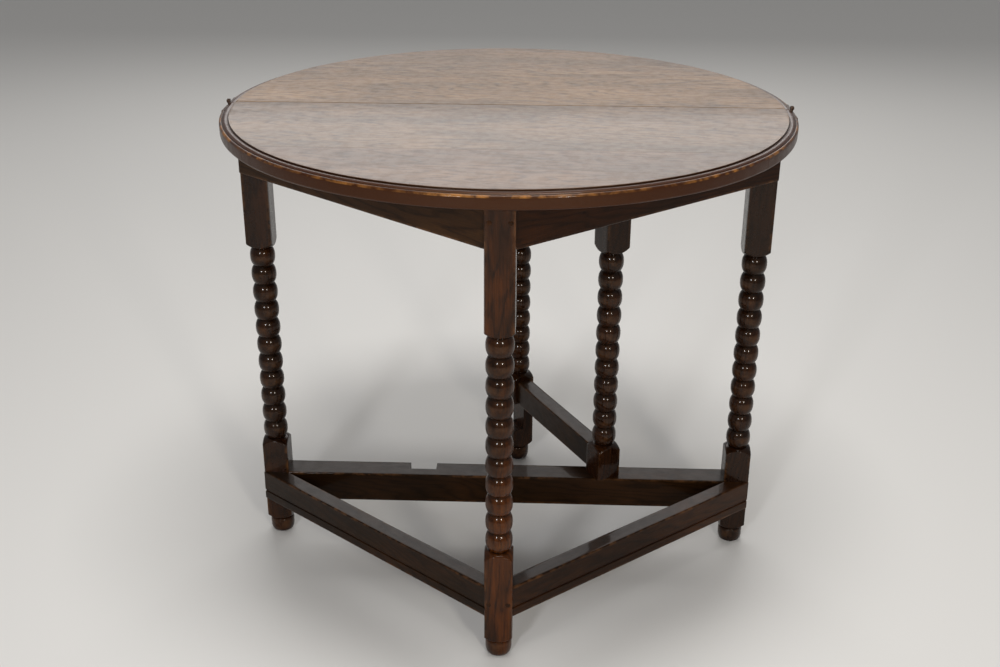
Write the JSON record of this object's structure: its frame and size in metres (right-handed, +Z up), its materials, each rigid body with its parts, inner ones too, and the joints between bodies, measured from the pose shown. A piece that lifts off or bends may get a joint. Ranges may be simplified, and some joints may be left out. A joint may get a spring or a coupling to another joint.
{
  "type": "gateleg table",
  "caption": "Round-topped gateleg table with bobbin-turned legs, a fold-over rear leaf and a swinging gate leg.",
  "frame": {"origin": "on the floor under the centre of the round top", "axes": "+Z up; +X along the split between the fixed half and the leaf; -Y towards the front leg and the fixed half"},
  "size_m": [0.828, 0.8279, 0.7237],
  "materials": {
    "frame_oak": "dark stained oak, waxed and polished",
    "top_oak": "faded brown oak, waxed",
    "inner_oak": "unfinished oak, dulled with age",
    "iron": "darkened wrought iron"
  },
  "bodies": {
    "frame": {"front_leg": "frame_oak", "left_leg": "frame_oak", "right_leg": "frame_oak", "front_left_apron": "frame_oak", "front_right_apron": "frame_oak", "rear_apron": "frame_oak", "front_left_stretcher": "frame_oak", "front_right_stretcher": "frame_oak", "rear_stretcher": "frame_oak", "fixed_inner_board": "top_oak", "fixed_outer_board": "top_oak", "glue_blocks": "inner_oak", "top_screws": "iron", "frame_pegs": "frame_oak", "hinge_fixed_plates": "iron", "hinge_pins": "iron", "hinge_fixed_screws": "iron"},
    "leaf": {"leaf_inner_board": "top_oak", "leaf_outer_board": "top_oak", "hinge_leaf_plates": "iron", "hinge_leaf_screws": "iron"},
    "gate": {"gate_post": "frame_oak", "gate_leg": "frame_oak", "gate_top_rail": "frame_oak", "gate_stretcher": "frame_oak", "gate_pegs": "frame_oak"}
  },
  "joints": [
    {"name": "leaf_fold", "type": "hinge", "parent": "frame", "child": "leaf", "pos_m": [0, 0, 0.7203], "axis": [1, 0, 0], "range_deg": [0, 180]},
    {"name": "gate_swing", "type": "hinge", "parent": "frame", "child": "gate", "pos_m": [0.158, -0.021, 0], "axis": [0, 0, 1], "range_deg": [-100, 61]}
  ]
}
